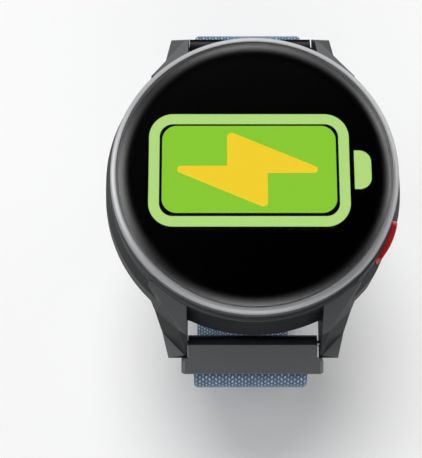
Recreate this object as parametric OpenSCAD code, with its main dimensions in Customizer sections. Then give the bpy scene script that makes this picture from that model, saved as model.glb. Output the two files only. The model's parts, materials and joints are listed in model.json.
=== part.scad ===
// Round golf GPS watch on a two-piece woven strap that is closed into a loop.
// The origin is the centre of the window in the case back. +Z leaves through the display,
// +Y points to 12 o'clock and +X to 3 o'clock. All sizes are in millimetres.

/* [Case] */
// Diameter of the case at its upper edge, under the bezel
case_top_d = 42.8; // [42.4:0.1:43.4]
// Diameter of the case where the flared side turns steep
case_mid_d = 45.2; // [44.6:0.1:45.6]
// Largest diameter of the case, near its lower edge
case_d = 45.9; // [45.7:0.1:47]
// Extra length of the case towards 12 and 6 o'clock
case_stretch = 1.4; // [0.8:0.1:1.8]
// Height of the case from its lower face to its upper edge
case_h = 9.25; // [8.9:0.05:10]
// Height of the slope at the foot of the case
case_foot_h = 0.65; // [0.4:0.05:0.9]
// Wall left outside the bezel's spigot
case_lip_t = 0.5; // [0.4:0.05:0.7]

/* [Bezel and glass] */
// Height of the bezel over the case's upper edge
bezel_h = 2.4; // [2.2:0.05:3]
// Diameter of the bezel's base
bezel_d = 43; // [42.9:0.1:43.8]
// Diameter of the bezel's bright upper edge
bezel_crown_d = 42.8; // [42.4:0.1:43.2]
// Diameter of the bezel's opening
bezel_bore_d = 40.9; // [40.5:0.1:41.2]
// Width of the ledge that carries the glass
bezel_ledge_w = 0.7; // [0.5:0.05:0.9]
// Depth of the spigot that seats in the case
bezel_spigot_h = 1.3; // [1:0.05:1.5]
// Thickness of the cover glass
glass_t = 2; // [1.7:0.05:2.2]
// Rise of the glass over the bezel's opening
glass_rise = 0.5; // [0.3:0.05:0.8]
// Width of the rounded edge of the glass
glass_edge_w = 1.9; // [1.4:0.1:2.4]
// Drop of the rounded edge of the glass
glass_edge_drop = 0.6; // [0.4:0.05:0.8]
// Thickness of the seal round the glass
glass_seal_t = 0.25; // [0.2:0.01:0.35]
// Thickness of the display panel
display_t = 0.75; // [0.6:0.05:0.9]

/* [Case back] */
// Height of the window's face below the case's lower face
window_proud = 0.95; // [0.7:0.05:1.2]
// Diameter of the window in the case back
window_d = 26.4; // [25.6:0.1:27]
// Thickness of the window
window_t = 1.75; // [1.5:0.05:1.9]
// Width of the ledge that the window rests on
window_ledge_w = 1.2; // [0.8:0.1:1.5]
// Diameter of the back cover
cover_d = 40.8; // [40.4:0.1:41]
// Thickness of the back cover
cover_t = 1.4; // [1.3:0.05:1.6]
// Height of the flat seal over the back cover
back_seal_h = 0.5; // [0.4:0.05:0.7]
// Radius of the circle that the back screws stand on
screw_circle_r = 18.4; // [18.2:0.1:18.6]
// Radius of a back screw's shank
screw_r = 0.6; // [0.5:0.05:0.7]
// Radius of a back screw's head
screw_head_r = 1.1; // [1:0.05:1.2]
// Thickness of a back screw's head
screw_head_h = 0.6; // [0.5:0.05:0.7]
// Length of a back screw below its head
screw_l = 3.4; // [2.6:0.1:4]
// Radius of the post that takes a back screw
post_r = 1.55; // [1.4:0.05:1.6]

/* [Lugs] */
// Gap between two lugs, which is the strap's nominal width
lug_gap = 20; // [19.8:0.1:20.6]
// Length of the lugs from the wall of the recess between them
lug_out = 4.7; // [4.4:0.1:5.2]
// Height of the recess between two lugs, over the window's face
recess_z = 5.4; // [5:0.1:5.8]
// Wall left between the recess and the back cover
recess_wall_t = 0.95; // [0.7:0.05:1.1]
// Radius of the recess's upper corners
recess_corner_r = 0.8; // [0.5:0.1:1.2]
// Width of a lug at its tip
lug_tip_w = 2.95; // [2.6:0.05:3.2]
// Width of a lug where it leaves the case
lug_root_w = 5.1; // [4.8:0.1:5.4]
// Height of the lug tips over the window's face
lug_foot_z = 0.4; // [0.2:0.05:0.6]
// Distance from the lug tips back to a spring bar
bar_inset = 2.1; // [1.9:0.05:2.3]
// Height of a spring bar over the window's face
bar_z = 1.7; // [1.6:0.05:1.9]

/* [Keys] */
// Angle of the two keys from 3 o'clock
key_angle = 26; // [25:0.5:27]
// Length of a key
key_l = 7.2; // [6.4:0.1:7.6]
// Height of a key
key_h = 2.5; // [2.2:0.1:2.7]
// Depth of a key's middle below the case's upper edge
key_drop = 3.05; // [2.95:0.05:3.2]
// Travel of a key
key_travel = 0.4; // [0.3:0.05:0.5]
// How far the lower key stands out of the case
lower_key_proud = 0.5; // [0.3:0.05:0.6]
// How far the upper key stands out of the case
upper_key_proud = 0.15; // [0.1:0.05:0.5]
// Radius of a key's crowned face
key_crown_r = 12; // [8:0.5:14]
// Distance from the watch's axis to the flat on the case below each key
key_flat_d = 22.6; // [22.4:0.1:23]
// Wall behind a key's pocket
key_floor_t = 0.8; // [0.6:0.05:0.9]
// Radius of a key's stem
stem_r = 0.9; // [0.8:0.05:1]
// Thickness of a stem's seal ring
stem_seal_t = 0.5; // [0.4:0.05:0.55]

/* [Strap] */
// Width of the woven strap
strap_w = 17.4; // [16.8:0.1:17.8]
// Place of the woven strap across the watch, towards 9 o'clock if negative
strap_shift = -0.4; // [-0.4:0.05:0.4]
// Thickness of the woven strap
strap_t = 1.3; // [1.1:0.05:1.4]
// Height inside the closed strap, below the case back
wrist_h = 37; // [34:0.5:45]
// Radius of the strap's lower corners
corner_r = 12; // [9:0.5:14]
// Thickness of each hook or loop pad of the closure
pad_t = 0.6; // [0.4:0.05:0.8]
// Width of the pads
pad_w = 15.6; // [12:0.2:16.4]
// Inward lean of the lower strap beside the wrist
lean_6 = 9; // [7:1:12]
// Place of the upper strap's end under the wrist, from the watch's axis
strap_12_end = -3; // [-4:0.5:0]
// Place of the lower strap's end under the wrist, from the watch's axis
strap_6_end = 14; // [12:0.5:15]
// Length of the grip tab on the lower strap's end
tab_l = 5; // [4:0.5:6]
// Length of the flap that is folded back at 12 o'clock
flap_l = 17; // [14:0.5:19]

/* [Strap ends] */
// Tilt of the 12 o'clock strap end below the level
tilt_12 = 67; // [62:1:70]
// Tilt of the 6 o'clock strap end below the level
tilt_6 = 25; // [20:1:30]
// Length of the 6 o'clock strap end from its bar
connector_l = 4.5; // [4.3:0.05:5]
// Play of a strap end beside each lug
end_play = 0.25; // [0.22:0.01:0.4]
// Place of the strap ends between the lugs, towards 9 o'clock if negative
end_shift = -0.15; // [-0.15:0.05:0.15]
// Width of the 6 o'clock strap end beyond the lugs
connector_wide_w = 21.6; // [21.2:0.1:22.2]
// Chamfer along the strap side of the 6 o'clock strap end
edge_break = 0.2; // [0.1:0.05:0.3]
// Height of the 6 o'clock strap end over its bar
connector_top = 1.5; // [1.45:0.05:1.6]
// Depth of the 6 o'clock strap end under its bar
connector_under = 1; // [0.95:0.05:1.1]
// Radius of the bend where the strap leaves the 6 o'clock end
bend_6_r = 2.45; // [1.6:0.05:3]
// Distance from the 12 o'clock bar to the rod that the strap folds round
rod_12_y = 3.8; // [3.7:0.05:4.2]
// Radius of the rod that the strap folds round
rod_12_r = 0.8; // [0.7:0.05:0.85]
// Radius of the rod inside the 6 o'clock end
rod_6_r = 0.35; // [0.3:0.05:0.4]
// Thickness of the 12 o'clock end's two arms
arm_t = 0.65; // [0.5:0.05:0.7]

/* [Spring bars] */
// Outer radius of a bar's tube
tube_r = 0.75; // [0.72:0.01:0.8]
// Wall of a bar's tube
tube_t = 0.2; // [0.15:0.01:0.22]
// Radius of a bar's tips
tip_r = 0.4; // [0.35:0.01:0.45]
// How far a tip reaches into its lug
tip_in = 1; // [0.7:0.05:1.1]
// Outer radius of the sleeve round a bar
sleeve_r = 1.2; // [1.15:0.01:1.25]
// Travel of the quick-release knob
release_travel = 1.3; // [1.2:0.05:1.5]
// Place of the quick-release knob along its bar
knob_x = 6.2; // [5:0.1:6.6]
// Radius of the quick-release knob
knob_r = 0.35; // [0.3:0.01:0.4]
// Reach of the quick-release knob below its bar
knob_l = 1.8; // [1.6:0.05:1.85]

/* [Inside] */
// Thickness of the battery
battery_t = 3.8; // [3.2:0.1:4]
// Width of the battery
battery_w = 23; // [20:0.5:23.5]
// Length of the battery
battery_l = 19.5; // [17:0.5:20]
// Thickness of the main board
board_t = 0.7; // [0.5:0.05:0.8]
// Radius of the main board
board_r = 17.6; // [16.8:0.1:17.8]
// Height of the shield cans
can_h = 0.8; // [0.6:0.05:0.9]
// Width of a shield can
can_w = 10.5; // [8:0.5:11.5]
// Length of a shield can
can_l = 12; // [8:0.5:14]
// Gap between the two shield cans
can_gap = 2; // [1:0.1:3]
// Wall of the inner frame
frame_t = 1.2; // [1:0.05:1.3]
// Inner radius of the charging coil
coil_in_r = 12.7; // [12.6:0.1:13.2]
// Outer radius of the charging coil
coil_out_r = 16.4; // [15:0.1:16.5]
// Thickness of the charging coil
coil_t = 0.5; // [0.4:0.05:0.6]
// Thickness of the ferrite sheet over the coil
ferrite_t = 0.3; // [0.2:0.05:0.4]
// Radius of the vibration motor's can
motor_r = 4; // [3.6:0.1:4.2]
// Height of the vibration motor's can
motor_h = 2.7; // [2.4:0.1:3]

/* [Clearances] */
// Gap between parts that are fixed to each other
fit_gap = 0.05; // [0.03:0.01:0.06]
// Radial clearance of a running fit
run_gap = 0.05; // [0.03:0.01:0.08]
// Gap round a key in its pocket
key_gap = 0.15; // [0.1:0.01:0.2]
// Gap round parts that swing past each other
swing_gap = 0.3; // [0.25:0.01:0.4]

/* [Hidden] */
$fn = 96;
// A length past every wall, for cuts
far = 60;
// Signs of the two ends of the watch and of the two keys
AT_12 = 1;
AT_6 = -1;
UPPER = 1;
LOWER = -1;

// Heights of the case, the bezel and the glass
case_base_z = window_proud;
case_top_z = case_base_z + case_h;
ring_z = case_top_z + bezel_h;
glass_top_z = ring_z + glass_rise;
glass_base_z = glass_top_z - glass_t;
seal_drop = 0.3;
display_z = glass_base_z - fit_gap - display_t;
// Depths below the upper edge at which the flared side bends
flare_in_drop = 2.2;
flare_out_drop = 4.8;
flare_step = 0.25;
flare_in_d = case_top_d + 2 * flare_step;
// Radii of the openings, from the bezel inwards
bore_r = bezel_bore_d / 2;
ledge_r = bore_r - bezel_ledge_w;
cavity_r = ledge_r;
glass_r = bore_r - glass_seal_t;
spigot_r = case_top_d / 2 - case_lip_t;
rebate_z = case_top_z - bezel_spigot_h;
// Heights of the case back
cover_top_z = case_base_z + cover_t;
shelf_z = cover_top_z + back_seal_h + fit_gap;
cover_r = cover_d / 2;
window_r = window_d / 2;
// Heights of what the case holds
coil_z = cover_top_z + fit_gap;
ferrite_z = coil_z + coil_t + fit_gap;
battery_z = ferrite_z + ferrite_t + fit_gap;
display_gap = 0.35;
can_z = display_z - display_gap - can_h;
can_y = -3;
can_corner_r = 0.8;
board_z = can_z - board_t;
deck_z = battery_z + battery_t + fit_gap;
frame_gap = 0.3;
frame_r = cavity_r - frame_gap;
frame_in_r = frame_r - frame_t;
// Ribbon between the display and the board
flex_w = 6;
flex_t = 0.15;
flex_gap = 0.4;
// The vibration motor stands beside the battery, towards 12 o'clock
motor_gap = 0.7;
battery_y = -1.75;
motor_y = battery_y + battery_l / 2 + motor_gap + motor_r;
motor_wall = 0.3;
mass_gap = 0.5;
mass_z = battery_z + motor_wall + mass_gap;
mass_top_z = battery_z + motor_h - motor_wall - mass_gap;
hub_t = 0.5;
pin_r = 0.35;

// Keys: distances along a key's own axis, from the watch's axis
key_z = case_top_z - key_drop;
key_floor_d = cavity_r + key_floor_t;
key_in_d = key_floor_d + key_travel + key_gap;
key_case_r = flare_in_d / 2 + (case_mid_d - flare_in_d) / 2
  * (key_drop - flare_in_drop) / (flare_out_drop - flare_in_drop);
key_corner_r = key_h / 2 - 0.2;
pad_depth = 1.35;
pad_rim = 0.5;
pad_in_d = cavity_r - pad_depth;
seal_stop_t = 0.9;
seal_stop_d = pad_in_d + seal_stop_t;
seal_d = key_floor_d - stem_seal_t;
seal_hole_r = stem_r + stem_seal_t + run_gap;
clip_t = 0.3;
clip_d = pad_in_d - 2 * fit_gap - clip_t;
clip_w = 0.8;
clip_r = stem_r + clip_w;
neck_depth = 0.25;
clip_neck_r = stem_r - neck_depth;
stem_end_l = 0.45;
stem_end_d = clip_d - stem_end_l;
plunger_r = 0.6;
plunger_l = 0.65;
plunger_d = stem_end_d - fit_gap - plunger_l;
switch_d = plunger_d - key_travel - 2 * fit_gap;
switch_lip = 0.2;
switch_floor = 0.9;
switch_front_d = plunger_d + switch_lip;
switch_back_d = switch_d - switch_floor;
switch_w = 3.2;
switch_h = 2.2;
// Bracket behind the switches, and the opening that the inner frame leaves for the keys
bracket_t = 0.35;
bracket_d = switch_back_d - fit_gap;
bracket_wing = switch_w / 2 + bracket_t;
bracket_foot_w = 4;
bay_gap = 0.67;
key_bay_x = key_point(bracket_d - bracket_t, bracket_wing).x - bay_gap;
key_bay_y = 13.5;

// Strap ends, in the frame of their bar: y along the end, z out of its upper face
recess_wall_r = cover_r + fit_gap + recess_wall_t;
lug_reach = recess_wall_r + lug_out;
bar_y = lug_reach - bar_inset;
connector_w = lug_gap - 2 * end_play;
inner_edge_y = -0.2;
lug_foot_drop = bar_z - lug_foot_z;
// Lengths of a lug from its tip to its bend, to the case and on into the case
lug_bend_l = 2.7;
lug_bend_drop = 4;
lug_root_l = 7.3;
lug_buried_l = 2.3;
relief_r = norm([lug_reach - bar_y, lug_foot_drop]) + swing_gap;
slot_l = 2.5;
slot_z = 0.15;
slot_h = strap_t + 4 * fit_gap;
slot_w = strap_w + 2 * abs(strap_shift - end_shift) + 8 * fit_gap;
rod_6_y = connector_l - 1.4;
under_cut_y = sleeve_r + fit_gap;
under_cut_z = -0.2;
arm_h = 1.8;
arm_end_r = rod_12_r + 0.25;
fold_r = rod_12_r + fit_gap + strap_t / 2;

// Spring bars
tube_l = connector_w - 1;
bore_in_r = tube_r - tube_t;
plunger_bar_r = bore_in_r - run_gap;
tip_end_x = lug_gap / 2 + tip_in;
plug_in_x = tube_l / 2 - 2.3;
release_in_x = knob_x - 1;
knob_gap = 0.1;
lug_hole_r = tip_r + run_gap;
sleeve_bore_r = tube_r + run_gap;

// The closed strap, in the plane of Y and Z
run_12_z = -wrist_h - strap_t / 2;
closure_gap = 0.3;
// Distances of the pads from the ends of the strap
pad_inset = 1;
hook_inset = 4;
run_6_z = run_12_z - strap_t - 2 * pad_t - closure_gap;
rod_12_p = bar_point(tilt_12, rod_12_y, 0);
exit_6_y = connector_l + 3 * fit_gap;
start_6_y = connector_l - slot_l + 2 * fit_gap;
path_12 = concat([[[rod_12_p.x + fold_r, rod_12_p.y - flap_l], 90]],
  ribbon([
    [flap_l, fold_r, 180],
    [rod_12_p.y - corner_r - run_12_z, corner_r, -90],
    [rod_12_p.x - fold_r - corner_r - strap_12_end, 0, 0]],
    [rod_12_p.x + fold_r, rod_12_p.y - flap_l], 90));
start_6 = bar_point(tilt_6, start_6_y, slot_z);
exit_6 = bar_point(tilt_6, exit_6_y, slot_z);
bend_6_u = exit_6.x + bend_6_r * (cos(lean_6) - sin(tilt_6));
bend_6_v = exit_6.y - bend_6_r * (cos(tilt_6) + sin(lean_6));
side_6_l = (bend_6_v - corner_r * (1 - sin(lean_6)) - run_6_z) / cos(lean_6);
corner_6_u = bend_6_u - side_6_l * sin(lean_6) - corner_r * cos(lean_6);
path_6 = concat([[start_6, -tilt_6]],
  ribbon([
    [exit_6_y - start_6_y, bend_6_r, tilt_6 - 90 - lean_6],
    [side_6_l, corner_r, lean_6 - 90],
    [corner_6_u + strap_6_end, 0, 0]],
    start_6, -tilt_6));

// Place in the plane of Y and Z of a point in the frame of a bar
function bar_point(tilt, y, z) =
  [bar_y + y * cos(tilt) + z * sin(tilt), bar_z - y * sin(tilt) + z * cos(tilt)];

// Points and headings along a bend that starts at p with heading a
function bend(p, a, r, turn) =
  turn == 0 ? [[p, a]] :
  let (steps = ceil(abs(turn) / 7.5))
  [for (k = [1 : steps])
    let (b = a + turn * k / steps)
    [p + sign(turn) * r * [sin(b) - sin(a), cos(a) - cos(b)], b]];

// Points and headings along runs of [straight length, bend radius, turn], from p with heading a
function ribbon(runs, p, a, i = 0) =
  i == len(runs) ? [] :
  let (
    q = p + runs[i][0] * [cos(a), sin(a)],
    arc = bend(q, a, runs[i][1], runs[i][2]),
    last = arc[len(arc) - 1])
  concat(runs[i][2] == 0 ? [] : [[q, a]], arc, ribbon(runs, last[0], last[1], i + 1));

// A point of a path, moved sideways by d
function beside(step, d) = step[0] + d * [-sin(step[1]), cos(step[1])];

// A flat ribbon of thickness t and width w that follows a path in the plane of Y and Z
module ribbon_solid(path, t, w) {
  near_side = [for (s = path) beside(s, t / 2)];
  far_side = [for (k = [len(path) - 1 : -1 : 0]) beside(path[k], -t / 2)];
  rotate([90, 0, 90])
    linear_extrude(w, center = true)
      polygon(concat(near_side, far_side));
}

// A disc or cylinder between two heights
module disc(r, z0, z1) {
  translate([0, 0, z0])
    cylinder(r = r, h = z1 - z0);
}

// A flat ring between two radii and two heights
module flat_ring(r0, r1, z0, z1) {
  difference() {
    disc(r1, z0, z1);
    disc(r0, z0 - 1, z1 + 1);
  }
}

// A round bar along X
module x_rod(r, x0, x1) {
  translate([x0, 0, 0])
    rotate([0, 90, 0])
      cylinder(r = r, h = x1 - x0);
}

// A box from its lowest to its highest corner
module block(low, high) {
  translate(low)
    cube(high - low);
}

// A rounded rectangle with exact round corners
module round_rect(w, h, r) {
  square([w - 2 * r, h], center = true);
  square([w, h - 2 * r], center = true);
  for (x = [-1, 1], y = [-1, 1])
    translate([x * (w / 2 - r), y * (h / 2 - r)])
      circle(r);
}

// Turns children to the 12 or the 6 o'clock end
module facing(end) {
  rotate([0, 0, end == AT_12 ? 0 : 180])
    children();
}

// Carries children from the frame of a bar to its place on the watch
module at_bar(end) {
  facing(end)
    translate([0, bar_y, bar_z])
      rotate([end == AT_12 ? -tilt_12 : -tilt_6, 0, 0])
        children();
}

// Carries children to a strap end, which takes up its play between the lugs
module at_strap_end(end) {
  translate([end_shift, 0, 0])
    at_bar(end)
      children();
}

// Moves the pieces of the woven strap to their place across the watch
module at_strap() {
  translate([strap_shift, 0, 0])
    children();
}

// Turns children, drawn along +X, to the axis of a key
module at_key(which) {
  translate([0, 0, key_z])
    rotate([0, 0, which * key_angle])
      children();
}

// Outer solid of the case without its lugs: two turned ends and the short stretch between them
module case_outside() {
  half = [
    [0, case_base_z],
    [case_d / 2 - case_foot_h, case_base_z],
    [case_d / 2, case_base_z + case_foot_h],
    [case_mid_d / 2, case_top_z - flare_out_drop],
    [flare_in_d / 2, case_top_z - flare_in_drop],
    [case_top_d / 2, case_top_z],
    [0, case_top_z]];
  for (s = [-1, 1])
    translate([0, s * case_stretch / 2, 0])
      rotate_extrude($fn = 180)
        polygon(half);
  rotate([90, 0, 0])
    linear_extrude(case_stretch, center = true)
      union() {
        polygon(half);
        mirror([1, 0])
          polygon(half);
      }
}

// One lug, lofted through four sections from inside the case to the tip
module lug() {
  x0 = lug_gap / 2;
  base_z = case_base_z + fit_gap;
  top_z = case_top_z - 2 * fit_gap;
  bend_z = case_top_z - lug_bend_drop;
  bend_y = lug_reach - lug_bend_l;
  root_y = lug_reach - lug_root_l;
  buried_y = root_y - lug_buried_l;
  // Corners of each section: inner foot, inner top, outer top, outer foot
  sections = [
    [[x0, buried_y, base_z], [x0, buried_y, top_z],
      [x0 + lug_root_w + 0.5, buried_y - 0.5, top_z - 0.2], [x0 + lug_root_w + 1, buried_y, base_z]],
    [[x0, root_y, lug_foot_z + 0.3], [x0, root_y + 0.6, top_z],
      [x0 + lug_root_w - 1.5, root_y + 0.2, top_z - 1.8], [x0 + lug_root_w, root_y, lug_foot_z + 0.4]],
    [[x0, bend_y - 0.7, lug_foot_z], [x0, bend_y, bend_z],
      [x0 + 1.2, bend_y - 0.6, bend_z], [x0 + lug_tip_w + 0.95, bend_y - 1.2, lug_foot_z]],
    [[x0, lug_reach, lug_foot_z], [x0, lug_reach - 0.3, lug_foot_z + 1],
      [x0 + 0.5, lug_reach - 0.3, lug_foot_z + 0.9], [x0 + lug_tip_w, lug_reach, lug_foot_z]]];
  count = len(sections);
  points = [for (s = sections) each s];
  sides = [for (i = [0 : count - 2], k = [0 : 3])
    let (a = 4 * i + k, b = 4 * i + (k + 1) % 4)
    each [[a, a + 4, b], [b, a + 4, b + 4]]];
  end = 4 * (count - 1);
  caps = [[0, 1, 2], [0, 2, 3], [end, end + 2, end + 1], [end, end + 3, end + 2]];
  polyhedron(points, concat(sides, caps));
}

// Pocket, stem hole and seal seat of a key, to be cut from the case
module key_cut(which) {
  at_key(which) {
    key_prism(key_floor_d, key_gap);
    x_rod(stem_r + run_gap, pad_in_d - 1, far / 2);
    x_rod(seal_hole_r, seal_stop_d, far / 2);
  }
}

// A key's rounded outline, drawn outwards along +X from distance d
module key_prism(d, gap) {
  translate([d, 0, 0])
    rotate([90, 0, 90])
      linear_extrude(far / 2 - d)
        round_rect(key_l + 2 * gap, key_h + 2 * gap, key_corner_r + gap);
}

module case_body() color("#3d3f42") {
  difference() {
    union() {
      case_outside();
      for (x = [0, 1], y = [0, 1])
        mirror([x, 0, 0])
          mirror([0, y, 0])
            lug();
    }
    disc(cavity_r, case_base_z - 1, case_top_z + 1);
    disc(cover_r + fit_gap, case_base_z - 1, shelf_z);
    disc(spigot_r, rebate_z, case_top_z + 1);
    for (end = [AT_12, AT_6])
      facing(end) {
        lug_recess();
        translate([0, bar_y, bar_z])
          x_rod(lug_hole_r, -tip_end_x - 2 * fit_gap, tip_end_x + 2 * fit_gap);
      }
    for (which = [UPPER, LOWER]) {
      key_cut(which);
      at_key(which)
        block([key_flat_d, -key_l, -far], [far, key_l, far]);
    }
  }
  for (a = [45 : 90 : 315])
    rotate([0, 0, a])
      screw_post();
  for (which = [UPPER, LOWER])
    key_pad(which);
}

// Space between two lugs, with rounded upper corners, outside the round wall of the case
module lug_recess() {
  r = recess_corner_r;
  inner_y = cover_r / 2;
  difference() {
    translate([0, far, 0])
      rotate([90, 0, 0])
        linear_extrude(far - inner_y) {
          translate([-lug_gap / 2, -far])
            square([lug_gap, far + recess_z - r]);
          translate([-lug_gap / 2 + r, 0])
            square([lug_gap - 2 * r, recess_z]);
          for (x = [-1, 1])
            translate([x * (lug_gap / 2 - r), recess_z - r])
              circle(r);
        }
    disc(recess_wall_r, -far - 1, far);
  }
}

// Post inside the case that takes one back screw
module screw_post() {
  difference() {
    intersection() {
      translate([screw_circle_r, 0, 0])
        disc(post_r, shelf_z, shelf_z + screw_l);
      disc(cavity_r + fit_gap, shelf_z, shelf_z + screw_l);
    }
    translate([screw_circle_r, 0, 0])
      disc(screw_r + fit_gap, shelf_z - 1, case_base_z + screw_head_h + screw_l + 4 * fit_gap);
  }
}

// Thick pad inside the case wall that guides one key's stem
module key_pad(which) {
  pad_w = 2 * clip_r + 2 * pad_rim;
  pad_h = 2 * (rebate_z - key_z);
  difference() {
    intersection() {
      at_key(which)
        block([pad_in_d, -pad_w / 2, -pad_h / 2], [cavity_r + fit_gap, pad_w / 2, pad_h / 2]);
      disc(cavity_r + fit_gap, 0, far);
    }
    key_cut(which);
  }
}

module bezel_ring() color("#b9babc") {
  crown_r = bezel_crown_d / 2;
  base_z = case_top_z + fit_gap;
  foot_h = 0.15;
  // The crown is rounded by two chamfers: [inset, drop] of the corners between them
  round_low = [0, 0.9];
  round_mid = [0.18, 0.35];
  round_top = [0.55, 0];
  lip_h = 0.05;
  lip_w = 0.1;
  rotate_extrude($fn = 180)
    polygon([
      [ledge_r, rebate_z + fit_gap],
      [spigot_r - fit_gap, rebate_z + fit_gap],
      [spigot_r - fit_gap, base_z],
      [bezel_d / 2, base_z],
      [bezel_d / 2, base_z + foot_h],
      [crown_r - round_low.x, ring_z + lip_h - round_low.y],
      [crown_r - round_mid.x, ring_z + lip_h - round_mid.y],
      [crown_r - round_top.x, ring_z + lip_h - round_top.y],
      [bore_r + lip_w, ring_z + lip_h],
      [bore_r, ring_z],
      [bore_r, glass_base_z - fit_gap],
      [ledge_r, glass_base_z - fit_gap]]);
}

module cover_glass() color("#0b0b0c") {
  // The rounded edge is an arc that starts level with the flat top
  edge_r = (pow(glass_edge_w, 2) + pow(glass_edge_drop, 2)) / (2 * glass_edge_drop);
  sweep = asin(glass_edge_w / edge_r);
  edge = [for (a = [0 : sweep / 8 : sweep + 0.01])
    [glass_r - glass_edge_w + edge_r * sin(a), glass_top_z - edge_r * (1 - cos(a))]];
  rotate_extrude($fn = 180)
    polygon(concat([[0, glass_base_z], [0, glass_top_z]], edge, [[glass_r, glass_base_z]]));
}

module glass_seal() color("#1a1a1a")
  flat_ring(glass_r + fit_gap / 2, bore_r - fit_gap / 2, glass_base_z, ring_z - seal_drop);

module display_panel() color("#101012")
  disc(ledge_r - 2 * fit_gap, display_z, display_z + display_t);

module display_flex() color("#8a5a22") {
  // A flat ribbon that folds down from the display to the board, at 9 o'clock
  edge_gap = 0.25;
  foot_l = 3;
  top_l = 1.5;
  bend_x = -(board_r + edge_gap);
  foot_z = board_z + board_t;
  rotate([90, 0, 0])
    linear_extrude(flex_w, center = true)
      polygon([
        [bend_x + foot_l, foot_z],
        [bend_x + foot_l, foot_z + flex_t],
        [bend_x + flex_t, foot_z + flex_t],
        [bend_x + flex_t, display_z - flex_t],
        [bend_x + top_l, display_z - flex_t],
        [bend_x + top_l, display_z],
        [bend_x, display_z],
        [bend_x, foot_z]]);
}

module inner_frame() color("#2a2b2d") {
  difference() {
    union() {
      flat_ring(frame_in_r, frame_r, shelf_z - back_seal_h, display_z - fit_gap);
      disc(frame_in_r + fit_gap, deck_z, board_z - fit_gap);
    }
    block([key_bay_x, -key_bay_y, 0], [far, key_bay_y, far]);
    block([-far, -flex_w / 2 - flex_gap, board_z - fit_gap],
      [-frame_in_r + flex_gap, flex_w / 2 + flex_gap, far]);
    for (a = [45 : 90 : 315])
      rotate([0, 0, a])
        translate([screw_circle_r, 0, 0])
          disc(post_r + 3 * fit_gap, 0, shelf_z + screw_l + 3 * fit_gap);
  }
}

module battery() color("#9aa0a6")
  translate([0, battery_y, battery_z])
    linear_extrude(battery_t)
      round_rect(battery_w, battery_l, 2);

module main_board() color("#1f5b3a")
  disc(board_r, board_z, board_z + board_t);

module shield_cans() color("#c4c7ca")
  for (s = [-1, 1])
    translate([s * (can_w + can_gap) / 2, can_y, can_z])
      linear_extrude(can_h)
        round_rect(can_w, can_l, can_corner_r);

module gps_antenna() color("#b87333") {
  // A thin metal strip on the inside of the frame, spread to both sides of 12 o'clock
  spread = 70;
  strip_t = 0.25;
  foot_z = board_z + board_t + 2 * fit_gap;
  rotate([0, 0, 90 - spread / 2])
    rotate_extrude(angle = spread, $fn = 180)
      translate([frame_in_r - fit_gap - strip_t, foot_z])
        square([strip_t, display_z - 3 * fit_gap - foot_z]);
}

module haptic_motor() color("#b4b6b8")
  translate([0, motor_y, 0]) {
    difference() {
      disc(motor_r, battery_z, battery_z + motor_h);
      disc(motor_r - motor_wall, battery_z + motor_wall, battery_z + motor_h - motor_wall);
    }
    disc(pin_r, battery_z + motor_wall / 2, battery_z + motor_h - motor_wall / 2);
  }

module haptic_mass() color("#6e6a63")
  translate([0, motor_y, 0])
    difference() {
      union() {
        difference() {
          disc(motor_r - motor_wall - swing_gap, mass_z, mass_top_z);
          block([-far, 0, 0], [far, far, far]);
        }
        disc(pin_r + hub_t, mass_z, mass_top_z);
      }
      disc(pin_r + run_gap, 0, far);
    }

module charging_coil() color("#b87333")
  flat_ring(coil_in_r, coil_out_r, coil_z, coil_z + coil_t);

module coil_ferrite() color("#35322f")
  flat_ring(coil_in_r, coil_out_r, ferrite_z, ferrite_z + ferrite_t);

module sensor_board() color("#20242a") {
  emitter_r = 1.6;
  receiver_r = 1.3;
  receiver_circle_r = 6.5;
  lens_z = window_t + 2 * fit_gap;
  disc(coil_in_r - 4 * fit_gap, coil_z, coil_z + coil_t + fit_gap);
  // One light emitter and six receivers face the window
  disc(emitter_r, lens_z, coil_z + fit_gap);
  for (a = [0 : 60 : 300])
    rotate([0, 0, a])
      translate([receiver_circle_r, 0, 0])
        disc(receiver_r, lens_z, coil_z + fit_gap);
}

module back_cover() color("#2c2d2f")
  difference() {
    disc(cover_r, case_base_z, cover_top_z);
    disc(window_r + fit_gap, 0, window_t + fit_gap);
    disc(window_r - window_ledge_w, 0, far);
    for (a = [45 : 90 : 315])
      rotate([0, 0, a])
        translate([screw_circle_r, 0, 0]) {
          disc(screw_r + fit_gap, 0, far);
          disc(screw_head_r + fit_gap, 0, case_base_z + screw_head_h + fit_gap);
        }
  }

module sensor_window() color("#151517")
  disc(window_r, 0, window_t);

module back_seal() color("#181818")
  difference() {
    flat_ring(cavity_r, cover_r, cover_top_z, cover_top_z + back_seal_h);
    // The seal goes round the screws' posts on their outer side
    for (a = [45 : 90 : 315])
      rotate([0, 0, a])
        translate([screw_circle_r, 0, 0])
          disc(screw_r + 3 * fit_gap, 0, far);
  }

module back_screws() color("#a8aaac") {
  slot_half_l = screw_head_r - 0.3;
  slot_half_w = screw_r / 4;
  for (a = [45 : 90 : 315])
    rotate([0, 0, a])
      translate([screw_circle_r, 0, 0])
        difference() {
          union() {
            disc(screw_head_r, case_base_z, case_base_z + screw_head_h);
            disc(screw_r, case_base_z, case_base_z + screw_head_h + screw_l);
          }
          // Cross slot in the head
          for (q = [0, 90])
            rotate([0, 0, q])
              block([-slot_half_l, -slot_half_w, 0],
                [slot_half_l, slot_half_w, case_base_z + screw_head_h / 2]);
        }
}

// Point at distance d along the upper key's axis and t to its side
function key_point(d, t) =
  [d * cos(key_angle) - t * sin(key_angle), d * sin(key_angle) + t * cos(key_angle)];

// The same point beside the lower key
function mirrored(p) = [p.x, -p.y];

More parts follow.
